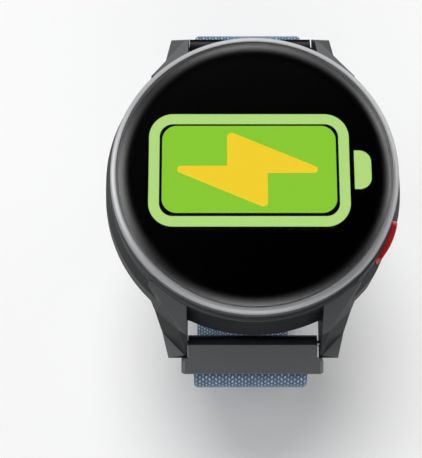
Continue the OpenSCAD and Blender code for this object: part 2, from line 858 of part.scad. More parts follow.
// Bent strip behind both switches: a flat middle with a foot, and two wings square to the keys
module key_bracket() color("#c0c2c4") {
  tip = key_point(bracket_d, bracket_wing);
  corner = key_point(bracket_d, -bracket_wing);
  tip_back = key_point(bracket_d - bracket_t, bracket_wing);
  corner_back = corner - bracket_t * [1, tan(key_angle / 2)];
  // The foot is fixed to the deck of the inner frame
  foot_root = [corner_back.x, bracket_foot_w / 2];
  foot_end = [key_bay_x + fit_gap, bracket_foot_w / 2];
  // One half of the outline, from the foot's end round the back and the front to the middle
  half = [foot_end, foot_root, corner_back, tip_back, tip, corner];
  translate([0, 0, deck_z])
    linear_extrude(key_z + switch_h / 2 - deck_z)
      polygon(concat(half, [for (k = [len(half) - 1 : -1 : 0]) mirrored(half[k])]));
}

// A key: its head in the pocket and its stem through the case wall
module key(which, proud) {
  intersection() {
    at_key(which)
      key_prism(key_in_d, 0);
    at_key(which)
      translate([key_case_r + proud + case_stretch / 2 * sin(key_angle) - key_crown_r, 0, 0])
        disc(key_crown_r, -key_h, key_h);
  }
  at_key(which) {
    x_rod(stem_r, clip_d + clip_t + fit_gap, key_in_d + fit_gap);
    x_rod(clip_neck_r, clip_d - 2 * fit_gap, key_in_d);
    x_rod(stem_r, stem_end_d, clip_d - fit_gap);
  }
}

// Seal ring on a key's stem
module key_seal(which) {
  at_key(which)
    translate([seal_d, 0, 0])
      rotate([0, 90, 0])
        rotate_extrude($fn = 48)
          translate([stem_r + stem_seal_t / 2, 0])
            circle(stem_seal_t / 2, $fn = 32);
}

// Open spring clip that keeps a key in the case
module key_clip(which) {
  at_key(which)
    difference() {
      x_rod(clip_r, clip_d, clip_d + clip_t);
      x_rod(clip_neck_r + fit_gap / 2, 0, far);
      block([0, -clip_neck_r, 0], [far, clip_neck_r, far]);
    }
}

// Plunger of a switch, which the stem pushes
module key_plunger(which) {
  at_key(which)
    x_rod(plunger_r, plunger_d, plunger_d + plunger_l);
}

// Switch behind a key
module key_switch(which) {
  at_key(which)
    difference() {
      block([switch_back_d, -switch_w / 2, -switch_h / 2], [switch_front_d, switch_w / 2, switch_h / 2]);
      x_rod(plunger_r + run_gap, switch_d, far);
    }
}

module upper_key() color("#55575a")
  key(UPPER, upper_key_proud);

module upper_key_seal() color("#181818")
  key_seal(UPPER);

module upper_key_clip() color("#a8aaac")
  key_clip(UPPER);

module upper_key_plunger() color("#222222")
  key_plunger(UPPER);

module upper_key_switch() color("#8d9094")
  key_switch(UPPER);

module lower_key() color("#a5222c")
  key(LOWER, lower_key_proud);

module lower_key_seal() color("#181818")
  key_seal(LOWER);

module lower_key_clip() color("#a8aaac")
  key_clip(LOWER);

module lower_key_plunger() color("#222222")
  key_plunger(LOWER);

module lower_key_switch() color("#8d9094")
  key_switch(LOWER);

// Sleeve that turns with the strap end round its bar
module bar_sleeve(end) {
  at_bar(end)
    difference() {
      translate([end * end_shift, 0, 0])
        x_rod(sleeve_r, -connector_w / 2, connector_w / 2);
      x_rod(sleeve_bore_r, -far, far);
      knob_slot();
    }
}

// Slot under a bar in which the quick-release knob slides
module knob_slot() {
  half_w = knob_r + knob_gap;
  block([knob_x - release_travel - half_w, -half_w, -far], [knob_x + half_w, half_w, 0]);
}

// Tube of a spring bar
module bar_tube(end) {
  at_bar(end)
    difference() {
      x_rod(tube_r, -tube_l / 2, tube_l / 2);
      x_rod(bore_in_r, -far, far);
      knob_slot();
    }
}

// Fixed tip of a spring bar, in the lug on the far side from the knob
module bar_tip(end) {
  at_bar(end) {
    x_rod(tip_r, -tip_end_x, -tube_l / 2);
    x_rod(bore_in_r - fit_gap / 2, -tube_l / 2, -plug_in_x);
  }
}

// Coil spring of a spring bar, as the space it fills
module bar_spring(end) {
  at_bar(end)
    x_rod(plunger_bar_r - run_gap, -plug_in_x, release_in_x);
}

// Sliding tip of a spring bar with its knob
module bar_release(end) {
  at_bar(end) {
    x_rod(plunger_bar_r, release_in_x, tube_l / 2);
    x_rod(tip_r, tube_l / 2 - fit_gap, tip_end_x);
    translate([knob_x, 0, 0])
      disc(knob_r, -knob_l, 0);
  }
}

// Channel of a strap end that grips the sleeve, and the open space under it
module sleeve_cut() {
  x_rod(sleeve_r + fit_gap / 2, -far, far);
  block([-far, -far, -far], [far, under_cut_y, under_cut_z]);
}

module connector_12() color("#4a4c4f")
  at_strap_end(AT_12) {
    // Cross bar over the sleeve
    difference() {
      block([-connector_w / 2, inner_edge_y, 0], [connector_w / 2, sleeve_r + fit_gap, sleeve_r + 0.3]);
      sleeve_cut();
    }
    // Two arms that carry the rod
    for (x = [-1, 1])
      translate([x * (connector_w - arm_t) / 2, 0, 0])
        difference() {
          union() {
            block([-arm_t / 2, inner_edge_y, under_cut_z], [arm_t / 2, rod_12_y, arm_h / 2]);
            block([-arm_t / 2, under_cut_y, -arm_h / 2], [arm_t / 2, rod_12_y, arm_h / 2]);
            translate([0, rod_12_y, 0])
              x_rod(arm_end_r, -arm_t / 2, arm_t / 2);
          }
          sleeve_cut_arm();
          translate([0, rod_12_y, 0])
            x_rod(rod_12_r + fit_gap / 2, -arm_t, arm_t);
        }
  }

// The sleeve's channel alone, for the arms
module sleeve_cut_arm() {
  x_rod(sleeve_r + fit_gap / 2, -far, far);
}

module strap_rod_12() color("#8f9194")
  at_strap_end(AT_12)
    translate([0, rod_12_y, 0])
      x_rod(rod_12_r, -connector_w / 2, connector_w / 2);

module connector_6() color("#535557") {
  bevel = 0.6;
  at_strap_end(AT_6)
    difference() {
      union() {
        block([-connector_w / 2, inner_edge_y, -connector_under],
          [connector_w / 2, connector_l, connector_top]);
        // The wide part keeps a round clearance from the lug tips
        difference() {
          rotate([-90, 0, 0])
            mirror([0, 1, 0])
              linear_extrude(connector_l)
                polygon([
                  [-connector_wide_w / 2, -connector_under],
                  [connector_wide_w / 2, -connector_under],
                  [connector_wide_w / 2, connector_top - 1.5 * bevel],
                  [connector_wide_w / 2 - bevel, connector_top],
                  [-connector_wide_w / 2 + bevel, connector_top],
                  [-connector_wide_w / 2, connector_top - 1.5 * bevel]]);
          x_rod(relief_r, -far, far);
        }
      }
      sleeve_cut();
      block([-slot_w / 2, connector_l - slot_l, slot_z - slot_h / 2],
        [slot_w / 2, far, slot_z + slot_h / 2]);
      translate([0, rod_6_y, slot_z])
        x_rod(rod_6_r + fit_gap / 2, -far, far);
      translate([0, connector_l, connector_top])
        rotate([45, 0, 0])
          cube([far, edge_break * sqrt(2), edge_break * sqrt(2)], center = true);
    }
}

module strap_rod_6() color("#8f9194")
  at_strap_end(AT_6)
    translate([0, rod_6_y, slot_z])
      x_rod(rod_6_r, -connector_wide_w / 2 + fit_gap, connector_wide_w / 2 - fit_gap);

module strap_12() color("#5f7488")
  at_strap()
    ribbon_solid(path_12, strap_t, strap_w);

module strap_6() color("#5f7488")
  difference() {
    at_strap()
      facing(AT_6)
        ribbon_solid(path_6, strap_t, strap_w);
    at_bar(AT_6)
      translate([0, rod_6_y, slot_z])
        x_rod(rod_6_r + fit_gap / 2, -far, far);
  }

// Hook pad under the end of the 12 o'clock strap
module hook_pad_12() color("#2d3a47") {
  top = run_12_z - strap_t / 2;
  at_strap()
    block([-pad_w / 2, strap_12_end + pad_inset, top - pad_t],
      [pad_w / 2, strap_6_end - hook_inset, top]);
}

// Loop pad on the end of the 6 o'clock strap
module loop_pad_6() color("#3b4a59") {
  base = run_6_z + strap_t / 2;
  at_strap()
    block([-pad_w / 2, strap_12_end - pad_inset, base],
      [pad_w / 2, strap_6_end - pad_inset, base + pad_t]);
}

// Pads that hold the flap folded at 12 o'clock, one on each layer of the strap
module flap_pad(side) {
  gap_w = rod_12_r + fit_gap;
  y0 = side > 0 ? fit_gap : -gap_w;
  y1 = side > 0 ? gap_w : -fit_gap;
  at_strap()
    block([-pad_w / 2, rod_12_p.x + y0, rod_12_p.y - flap_l + pad_inset / 2],
      [pad_w / 2, rod_12_p.x + y1, rod_12_p.y - 2 * rod_12_r]);
}

module flap_hook_pad() color("#2d3a47")
  flap_pad(1);

module flap_loop_pad() color("#3b4a59")
  flap_pad(-1);

// Grip tab welded to the end of the 6 o'clock strap
module strap_end_tab() color("#3a3c3f")
  at_strap()
    block([-strap_w / 2, strap_6_end, run_6_z - strap_t / 2],
      [strap_w / 2, strap_6_end + tab_l, run_6_z + strap_t / 2]);

module bar_sleeve_12() color("#141415")
  bar_sleeve(AT_12);

module bar_tube_12() color("#a8aaac")
  bar_tube(AT_12);

module bar_tip_12() color("#a8aaac")
  bar_tip(AT_12);

module bar_spring_12() color("#8f9194")
  bar_spring(AT_12);

module bar_release_12() color("#a8aaac")
  bar_release(AT_12);

module bar_sleeve_6() color("#141415")
  bar_sleeve(AT_6);

module bar_tube_6() color("#a8aaac")
  bar_tube(AT_6);

module bar_tip_6() color("#a8aaac")
  bar_tip(AT_6);

module bar_spring_6() color("#8f9194")
  bar_spring(AT_6);

module bar_release_6() color("#a8aaac")
  bar_release(AT_6);

case_body();
bezel_ring();
cover_glass();
glass_seal();
display_panel();
display_flex();
inner_frame();
battery();
main_board();
shield_cans();
gps_antenna();
haptic_motor();
haptic_mass();
charging_coil();
coil_ferrite();
sensor_board();
back_cover();
sensor_window();
back_seal();
back_screws();
key_bracket();
upper_key();
upper_key_seal();
upper_key_clip();
upper_key_plunger();
upper_key_switch();
lower_key();
lower_key_seal();
lower_key_clip();
lower_key_plunger();
lower_key_switch();
connector_12();
bar_sleeve_12();
bar_tube_12();
bar_tip_12();
bar_spring_12();
bar_release_12();
strap_rod_12();
strap_12();
hook_pad_12();
flap_hook_pad();
flap_loop_pad();
connector_6();
bar_sleeve_6();
bar_tube_6();
bar_tip_6();
bar_spring_6();
bar_release_6();
strap_rod_6();
strap_6();
loop_pad_6();
strap_end_tab();
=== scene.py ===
# Looks of a round golf GPS watch on a woven strap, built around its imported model.
# The frame is the part's own, in metres: +Z leaves through the display, +Y points to 12 o'clock.
# Sizes of pieces are written in millimetres, and only the camera's and the floor's in metres.
import json

import bpy
import numpy as np
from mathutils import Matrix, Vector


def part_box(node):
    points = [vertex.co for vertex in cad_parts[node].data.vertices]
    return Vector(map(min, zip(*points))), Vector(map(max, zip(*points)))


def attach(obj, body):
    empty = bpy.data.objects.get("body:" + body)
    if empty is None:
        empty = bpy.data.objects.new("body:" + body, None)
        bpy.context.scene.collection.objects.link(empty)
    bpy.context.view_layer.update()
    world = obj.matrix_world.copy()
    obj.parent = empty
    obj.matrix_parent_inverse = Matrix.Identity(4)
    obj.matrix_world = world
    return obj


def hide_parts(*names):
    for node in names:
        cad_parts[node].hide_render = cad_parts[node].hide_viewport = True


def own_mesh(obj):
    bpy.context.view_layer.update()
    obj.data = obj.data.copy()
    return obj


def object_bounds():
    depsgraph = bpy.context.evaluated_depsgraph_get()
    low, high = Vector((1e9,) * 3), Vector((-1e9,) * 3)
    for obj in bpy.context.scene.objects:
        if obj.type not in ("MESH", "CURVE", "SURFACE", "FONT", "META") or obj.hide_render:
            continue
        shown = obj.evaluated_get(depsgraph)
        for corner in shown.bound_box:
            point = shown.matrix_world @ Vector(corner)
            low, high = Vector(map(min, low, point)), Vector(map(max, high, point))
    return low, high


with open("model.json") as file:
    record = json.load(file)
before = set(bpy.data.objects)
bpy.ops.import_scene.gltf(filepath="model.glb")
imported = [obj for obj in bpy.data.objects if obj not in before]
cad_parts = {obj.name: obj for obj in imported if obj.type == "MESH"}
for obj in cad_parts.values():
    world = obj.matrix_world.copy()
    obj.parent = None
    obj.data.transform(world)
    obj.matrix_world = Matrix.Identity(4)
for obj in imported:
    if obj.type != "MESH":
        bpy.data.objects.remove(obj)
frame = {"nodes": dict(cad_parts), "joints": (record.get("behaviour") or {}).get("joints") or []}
cad_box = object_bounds()


# Camera
# A long lens a hand's length above the watch leans back from 6 o'clock. It sees the face almost square on,
# and the strap below the case only where it stands out past the two strap ends.
EYE = (-0.00644, -0.04532, 0.16165)
EYE_LEAN = 0.2401
LENS_MM = 83.0
NEAREST = 0.01

eye = bpy.data.objects.new("camera", bpy.data.cameras.new("camera"))
eye.location = EYE
eye.rotation_euler = (EYE_LEAN, 0.0, 0.0)
eye.data.lens = LENS_MM
eye.data.clip_start = NEAREST
bpy.context.scene.collection.objects.link(eye)
bpy.context.scene.camera = eye


# Case body
# The case is machined from aluminium with four lugs and anodised dark grey. Its steep side is painted
# almost black as painted shade, the faces that look up are painted lighter as painted light and carry a
# coat, and every edge is broken by a hair.
MM = 0.001
# The lighter grey is painted on faces that look up, the darker one on the steep side: painted light and
# shade.
CASE_GREY = (83, 85, 87)
CASE_PAINTED_SHADE = (35, 36, 38)
CASE_EDGE = 0.12
CASE_ROUGHNESS = 0.45
CASE_COAT = 0.5
# Grains and clouds to a millimetre, the grains' depth, and how far they change colour and gloss
CASE_GRAINS = 6.0
CASE_CLOUDS = 0.15
CASE_GRAIN_DEPTH = 0.006
CASE_GRAIN_COLOUR = 0.3
CASE_CLOUD_GLOSS = 0.1
# Upward part of the normal from which the painted light starts, and over which it grows; the steep side
# below keeps the painted shade
PAINTED_LIGHT_FROM = 0.4
PAINTED_LIGHT_OVER = 0.4


def tone(red, green, shaded_blue):
    """Linear colour of a shade written as on a screen, 0 to 255."""
    shade = np.array([red, green, shaded_blue]) / 255
    linear = np.where(shade <= 0.04045, shade / 12.92, ((shade + 0.055) / 1.055) ** 2.4)
    return (*linear.tolist(), 1.0)


class Wire:
    """An output socket. Sums written on wires become Math nodes in the same tree."""

    def __init__(self, tree, socket):
        self.tree = tree
        self.socket = socket

    def node(self, kind, settings=None, sockets=None, out=0):
        """Adds a node: its settings first, then values or links for its sockets. Returns one output."""
        made = self.tree.nodes.new("ShaderNode" + kind)
        for name, value in (settings or {}).items():
            setattr(made, name, value)
        self.feed(sockets or {}, made)
        return Wire(self.tree, made.outputs[out])

    def feed(self, sockets, node=None):
        """Sets values or links on the inputs of a node, or of the node that this wire leaves."""
        inputs = (node or self.socket.node).inputs
        for name, value in sockets.items():
            if isinstance(value, Wire):
                self.tree.links.new(value.socket, inputs[name])
            else:
                inputs[name].default_value = value

    def math(self, operation, *values):
        """A Math node on these values, in order."""
        return self.node("Math", {"operation": operation}, dict(enumerate(values)))

    def mix(self, first, second):
        """The colour between first and second, with this wire as the share of second.

        A Mix node's colours are its inputs 6 and 7 and its output 2.
        """
        return self.node("Mix", {"data_type": "RGBA"}, {0: self, 6: first, 7: second}, out=2)

    def clamp(self):
        """This value held between 0 and 1."""
        return self.node("Clamp", None, {"Value": self})

    def __add__(self, other):
        return self.math("ADD", self, other)

    __radd__ = __add__

    def __sub__(self, other):
        return self.math("SUBTRACT", self, other)

    def __rsub__(self, other):
        return self.math("SUBTRACT", other, self)

    def __mul__(self, other):
        return self.math("MULTIPLY", self, other)

    __rmul__ = __mul__

    def __truediv__(self, other):
        return self.math("DIVIDE", self, other)

    def __rtruediv__(self, other):
        return self.math("DIVIDE", other, self)

    def __pow__(self, other):
        return self.math("POWER", self, other)

    def __rpow__(self, other):
        return self.math("POWER", other, self)

    def __abs__(self):
        return self.math("ABSOLUTE", self)


def finish(name, sockets):
    """A new material. Constants go on the shader's own sockets, and the wire of its shader comes back."""
    made = bpy.data.materials.new(name)
    made.use_nodes = True
    tree = made.node_tree
    shader = Wire(tree, tree.nodes["Principled BSDF"].outputs[0])
    shader.feed(sockets)
    return made, shader


def grain(shader, per_mm):
    """Even noise over the piece, with about that many grains to a millimetre."""
    place = shader.node("TexCoord", out="Object")
    return shader.node("TexNoise", None, {"Vector": place, "Scale": per_mm / MM, "Detail": 2.0})


def bump(shader, height, depth_mm, edge_mm=0.0):
    """A bumped normal whose full height is that depth, over edges that are rounded by that radius."""
    sockets = {"Height": height, "Distance": depth_mm * MM, "Strength": 1.0}
    if edge_mm:
        sockets["Normal"] = shader.node("Bevel", {"samples": 6}, {"Radius": edge_mm * MM})
    return shader.node("Bump", None, sockets)


def dress(material, *nodes):
    """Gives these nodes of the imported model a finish."""
    for name in nodes:
        mesh = frame["nodes"][name].data
        mesh.materials.clear()
        mesh.materials.append(material)


case_metal, shader = finish("case_metal", {"Specular IOR Level": 0.08, "Coat Roughness": 0.4})
facing = shader.node("TexCoord", out="Normal")
upward = shader.node("SeparateXYZ", None, {0: facing}, out=2)
# Painted light and shade by facing: tops get the lighter grey and the coat, the steep side the painted dark
# grey.
painted_light_and_coat = ((upward - PAINTED_LIGHT_FROM) / PAINTED_LIGHT_OVER).clamp()
fine = grain(shader, CASE_GRAINS)
broad = grain(shader, CASE_CLOUDS)
mottle = 1 - CASE_GRAIN_COLOUR / 2 + CASE_GRAIN_COLOUR * fine
shader.feed({
    "Base Color": (painted_light_and_coat * mottle).clamp().mix(tone(*CASE_PAINTED_SHADE), tone(*CASE_GREY)),
    "Roughness": CASE_ROUGHNESS + CASE_CLOUD_GLOSS * broad,
    "Coat Weight": CASE_COAT * painted_light_and_coat,
    "Normal": bump(shader, fine, CASE_GRAIN_DEPTH, CASE_EDGE),
})
dress(case_metal, "case_body")


# Keys
# Two anodised aluminium keys sit in pockets at 2 and 4 o'clock: the lower one is red, the upper one grey.
# Each has a stem with a rubber seal, a steel clip, and a plunger that works a switch on a steel bracket.
KEY_RED = (220, 46, 54)
KEY_RED_SHADE = (204, 36, 44)
KEY_GREY = (92, 94, 97)
KEY_EDGE = 0.35
STEEL = (186, 187, 189)
STEEL_SHADE = (160, 161, 164)
RUBBER = (26, 26, 27)
RUBBER_SHADE = (16, 16, 17)
SWITCH_GREY = (52, 53, 56)
SWITCH_SHADE = (42, 43, 46)
# Grains across one cloud, the share of clouds in the colour, and how much they change the gloss
CLOUD_GRAINS = 40
CLOUD_SHARE = 0.4
CLOUD_GLOSS = 0.12


def blasted(name, light, shade, roughness, metallic,
            per_mm=6.0, depth_mm=0.006, edge_mm=0.0, constants=None):
    """Blasted or moulded surface: grains and clouds of two close shades, uneven gloss and a fine bump."""
    made, shader = finish(name, {"Metallic": metallic, **(constants or {})})
    fine = grain(shader, per_mm)
    broad = grain(shader, per_mm / CLOUD_GRAINS)
    mottle = (1 - CLOUD_SHARE) * fine + CLOUD_SHARE * broad
    shader.feed({
        "Base Color": mottle.mix(tone(*shade), tone(*light)),
        "Roughness": roughness - CLOUD_GLOSS / 2 + CLOUD_GLOSS * broad,
        "Normal": bump(shader, fine, depth_mm, edge_mm),
    })
    return made


key_red = blasted("key_red", KEY_RED, KEY_RED_SHADE, roughness=0.3, metallic=0.3, per_mm=8.0,
                  depth_mm=0.002, edge_mm=KEY_EDGE, constants={"Coat Weight": 1.0, "Coat Roughness": 0.1})
key_grey = blasted("key_grey", KEY_GREY, CASE_GREY, roughness=0.36, metallic=0.9, per_mm=8.0,
                   depth_mm=0.002, edge_mm=KEY_EDGE)
bright_steel = blasted("bright_steel", STEEL, STEEL_SHADE, roughness=0.24, metallic=1.0, per_mm=10.0,
                       depth_mm=0.001)
seal_rubber = blasted("seal_rubber", RUBBER, RUBBER_SHADE, roughness=0.7, metallic=0.0)
switch_plastic = blasted("switch_plastic", SWITCH_GREY, SWITCH_SHADE, roughness=0.5, metallic=0.0)
dress(key_red, "lower_key")
dress(key_grey, "upper_key")
for key in ("upper_key", "lower_key"):
    dress(seal_rubber, key + "_seal")
    dress(bright_steel, key + "_clip")
    dress(switch_plastic, key + "_plunger", key + "_switch")
dress(bright_steel, "key_bracket")


# Inner frame, battery and boards
# A moulded frame has a foil battery below its deck and a round green board above it. Two steel cans cover
# the chips, a copper strip along the frame's wall is the aerial, and an amber film joins board and display.
FRAME_BLACK = (40, 41, 43)
FOIL = (170, 174, 179)
FOIL_SHADE = (150, 154, 160)
BOARD_GREEN = (22, 84, 52)
TRACK_GREEN = (34, 108, 68)
TRACKS_PER_MM = 0.35
TRACK_W = 0.04
COPPER = (196, 120, 72)
COPPER_SHADE = (172, 98, 56)
AMBER = (176, 112, 40)
AMBER_SHADE = (150, 92, 30)

frame_plastic = blasted("frame_plastic", FRAME_BLACK, RUBBER, roughness=0.55, metallic=0.0, per_mm=4.0)
battery_foil = blasted("battery_foil", FOIL, FOIL_SHADE, roughness=0.34, metallic=0.8, per_mm=0.6,
                       depth_mm=0.03)
copper = blasted("copper", COPPER, COPPER_SHADE, roughness=0.3, metallic=1.0)
flex_film = blasted("flex_film", AMBER, AMBER_SHADE, roughness=0.35, metallic=0.0)
dress(frame_plastic, "inner_frame")
dress(battery_foil, "battery")
dress(bright_steel, "shield_cans")
dress(copper, "gps_antenna")
dress(flex_film, "display_flex")

board, shader = finish("board", {"Roughness": 0.4})
place = shader.node("TexCoord", out="Object")
tracks = shader.node("TexBrick", {"offset": 0.5}, {
    "Vector": place, "Scale": TRACKS_PER_MM / MM, "Mortar Size": TRACK_W,
    "Color1": tone(*BOARD_GREEN), "Color2": tone(*BOARD_GREEN), "Mortar": tone(*TRACK_GREEN)})
shader.feed({"Base Color": tracks})
dress(board, "main_board", "sensor_board")


# Vibration motor
# A flat steel can holds a heavy half disc of sintered tungsten that turns on a pin. It lies on the 12
# o'clock side of the battery, below the frame's deck.
TUNGSTEN = (112, 108, 102)
TUNGSTEN_SHADE = (92, 88, 84)

heavy_metal = blasted("heavy_metal", TUNGSTEN, TUNGSTEN_SHADE, roughness=0.5, metallic=0.9)
dress(bright_steel, "haptic_motor")
dress(heavy_metal, "haptic_mass")


# Display and its picture
# A round black panel glows with the charging picture: a battery outline with its contact, a filled
# charge and a bolt. The shapes are distances in millimetres from the panel's own middle.
PANEL_BLACK = (3, 3, 3)
OUTLINE_GREEN = (177, 218, 126)
CHARGE_GREEN = (136, 201, 53)
BOLT_YELLOW = (242, 207, 48)
# Strength of the glow, over 1 by the light that the glass in front holds back
GLOW = 1.17
BATTERY_MID = (-0.79, 0.37)
OUTLINE_HALF = (14.88, 8.67)
OUTLINE_R = 3.6
OUTLINE_T = 1.57
CHARGE_MID = (-0.79, 0.48)
CHARGE_HALF = (12.92, 6.72)
CHARGE_R = 2.2
CONTACT_X = 14.78
CONTACT_HALF = (2.52, 2.98)
CONTACT_R = 1.8
BOLT_MID = (-1.05, 0.42)
BOLT_WAIST = (3.0, 0.555)
BOLT_SLOPE = 0.425
BOLT_RISE = 6.05
BOLT_TOP_R = 0.72
BOLT_TIP_R = 0.545
DOT = 0.04

panel, shader = finish("display", {"Base Color": tone(*PANEL_BLACK), "Roughness": 0.25,
                                   "Specular IOR Level": 0.0, "Emission Strength": GLOW})
place = shader.node("TexCoord", out="Object")
across = shader.node("SeparateXYZ", None, {0: place}, out=0) / MM
up = shader.node("SeparateXYZ", None, {0: place}, out=1) / MM


def rounded_box(x, y, half, r):
    """Distance to a box with round corners: the length past its inner corners, less their radius."""
    past_x = abs(x) - (half[0] - r)
    past_y = abs(y) - (half[1] - r)
    outside = (x.math("MAXIMUM", past_x, 0.0) ** 2 + x.math("MAXIMUM", past_y, 0.0) ** 2) ** 0.5
    inside = x.math("MINIMUM", x.math("MAXIMUM", past_x, past_y), 0.0)
    return outside + inside - r


def past_corner(x, y, corner, inward, half, r):
    """Distance past the round of a corner: a disc that touches both its sides, beyond the line of touch.

    Inward is the direction of the corner's middle line, half is the angle from it to either side.
    """
    away = -np.array([np.cos(inward), np.sin(inward)])
    disc_x, disc_y = np.array(corner) - away * r / np.sin(half)
    beyond = (x - disc_x) * away[0] + (y - disc_y) * away[1] - r * np.sin(half)
    disc = ((x - disc_x) ** 2 + (y - disc_y) ** 2) ** 0.5 - r
    return x.math("MINIMUM", beyond, disc)


def half_bolt(x, y):
    """Distance to half a bolt: below its slope, right of its upright and over its foot.

    The corner on top of the upright and the one at the tip are round.
    """
    lean = np.arctan(BOLT_SLOPE)
    quarter = np.pi / 2
    left, low = -BOLT_WAIST[0], -BOLT_WAIST[1]
    slope = (y - BOLT_RISE + BOLT_SLOPE * (x - left)) * np.cos(lean)
    top = past_corner(x, y, (left, BOLT_RISE), -(quarter + lean) / 2, (quarter - lean) / 2, BOLT_TOP_R)
    tip_x = left + (BOLT_RISE - low) / BOLT_SLOPE
    tip = past_corner(x, y, (tip_x, low), np.pi - lean / 2, lean / 2, BOLT_TIP_R)
    body = x.math("MAXIMUM", x.math("MAXIMUM", slope, left - x), low - y)
    return x.math("MAXIMUM", body, x.math("MAXIMUM", top, tip))


def inked(distance):
    """Share of a shape that covers a point, with a soft edge of one display dot."""
    return (0.5 - distance / DOT).clamp()


outline = rounded_box(across - BATTERY_MID[0], up - BATTERY_MID[1], OUTLINE_HALF, OUTLINE_R)
rim = across.math("MAXIMUM", outline, -1 * outline - OUTLINE_T)
charge = rounded_box(across - CHARGE_MID[0], up - CHARGE_MID[1], CHARGE_HALF, CHARGE_R)
contact = rounded_box(across - CONTACT_X, up - BATTERY_MID[1], CONTACT_HALF, CONTACT_R)
contact = across.math("MAXIMUM", contact, CONTACT_X - across)
bolt_x = across - BOLT_MID[0]
bolt_y = up - BOLT_MID[1]
bolt = across.math("MINIMUM", half_bolt(bolt_x, bolt_y), half_bolt(-1 * bolt_x, -1 * bolt_y))
picture = inked(across.math("MINIMUM", rim, contact)).mix(tone(0, 0, 0), tone(*OUTLINE_GREEN))
picture = inked(charge).mix(picture, tone(*CHARGE_GREEN))
picture = inked(bolt).mix(picture, tone(*BOLT_YELLOW))
shader.feed({"Emission Color": picture})
dress(panel, "display_panel")


# Cover glass and its seal
# A disc of sapphire glass with a rounded rim lies in the bezel on a thin rubber seal. A ring of black ink
# under its rim hides the ledge, so the face looks black out to the metal.
GLASS_INDEX = 1.77
GLASS_ROUGHNESS = 0.015
SMEAR_ROUGHNESS = 0.02
SMEARS_PER_MM = 0.15
INK_IN_R = 18.2
INK_T = 0.02
INK_STEPS = 180
INK_BLACK = (5, 5, 5)
INK_SHADE = (3, 3, 3)
# The seal is painted a light grey: painted light that fills the shade of its groove and carries on the
# glass rim's grey reflection.
SEAL_PAINTED_LIGHT = (132, 132, 134)
SEAL_SHADE = (120, 120, 122)
SHARP_EDGE = np.radians(50)


def piece(name, grid, material, body, wrap=False, caps=False):
    """An object from a grid of points in millimetres. Columns wrap round, rows wrap too or end in caps.

    Columns run anticlockwise seen from the first row, so the faces look outwards.
    """
    rows, columns = grid.shape[:2]
    row = np.arange(rows if wrap else rows - 1)[:, None]
    column = np.arange(columns)[None, :]
    below = (row + 1) % rows * columns
    beside = (column + 1) % columns
    quads = np.stack([row * columns + column, below + column, below + beside, row * columns + beside], -1)
    faces = quads.reshape(-1, 4).tolist()
    if caps:
        faces.append(list(range(columns)))
        faces.append(list(range((rows - 1) * columns, rows * columns))[::-1])
    mesh = bpy.data.meshes.new(name)
    mesh.from_pydata(grid.reshape(-1, 3) * MM, [], faces)
    mesh.shade_smooth()
    mesh.set_sharp_from_angle(angle=SHARP_EDGE)
    mesh.materials.append(material)
    made = bpy.data.objects.new(name, mesh)
    bpy.context.scene.collection.objects.link(made)
    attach(made, body)
    return made


def box_mm(node):
    """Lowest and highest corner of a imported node, in millimetres."""
    low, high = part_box(node)
    return np.array(low) / MM, np.array(high) / MM


def lathe(profile, steps):
    """Points of a closed profile of (radius, height), carried round the watch's axis."""
    angle = np.linspace(0, 2 * np.pi, steps, endpoint=False)[:, None]
    radius, height = profile[:, 0][None, :], profile[:, 1][None, :]
    return np.stack([radius * np.cos(angle), radius * np.sin(angle), height + 0 * angle], -1)


glass, shader = finish("cover_glass", {"Base Color": (1.0, 1.0, 1.0, 1.0), "IOR": GLASS_INDEX,
                                       "Transmission Weight": 1.0})
shader.feed({"Roughness": GLASS_ROUGHNESS + SMEAR_ROUGHNESS * grain(shader, SMEARS_PER_MM)})
dress(glass, "cover_glass")
# Painted light: the seal's light grey lifts its groove out of shade.
dress(blasted("glass_seal", SEAL_PAINTED_LIGHT, SEAL_SHADE, roughness=0.5, metallic=0.0), "glass_seal")

glass_low, glass_high = box_mm("cover_glass")
ink_top = glass_low[2] - INK_T / 2
ink_out_r = glass_high[0]
ink_profile = np.array([[INK_IN_R, ink_top], [INK_IN_R, ink_top - INK_T],
                        [ink_out_r, ink_top - INK_T], [ink_out_r, ink_top]])
ink = blasted("ink", INK_BLACK, INK_SHADE, roughness=0.5, metallic=0.0,
              constants={"Specular IOR Level": 0.0})
piece("glass_ink", lathe(ink_profile, INK_STEPS), ink, "head", wrap=True)


# Bezel ring
# The ring is turned from aluminium, polished and pressed into the case. Its rounded crown keeps fine
# concentric tool marks, and the steep slope outside the crown is painted a darker grey by height, as a
# painted dark reflection.
RING_STEPS = 256
RING_BORE_R = 20.45
RING_LEDGE_R = 19.75
RING_SPIGOT_R = 20.85
RING_FOOT_H = 0.15
RING_GAP = 0.05
# Arcs of the crown's profile, from the slope to the bore: radius and turn in degrees
CROWN_ARCS = [(0.6, 53), (1.55, 22), (0.06, 100)]
CROWN_LEAN = 95.0
CROWN_OUT_R = 21.36
CROWN_STEP = 0.04
# Share of the crown's height over which the slope's painted shade turns silver
CROWN_FADE = 0.8
RING_SILVER = (206, 207, 209)
RING_SHADE = (192, 193, 196)
# The slope's grey is painted shade: a painted dark reflection on the steep outer side.
SLOPE_PAINTED_SHADE = (112, 113, 115)
RING_ROUGHNESS = 0.32
MARKS_PER_MM = 14.0
MARK_DEPTH = 0.002
MARK_ROUGHNESS = 0.06
HAZE_PER_MM = 0.2
HAZE_ROUGHNESS = 0.08


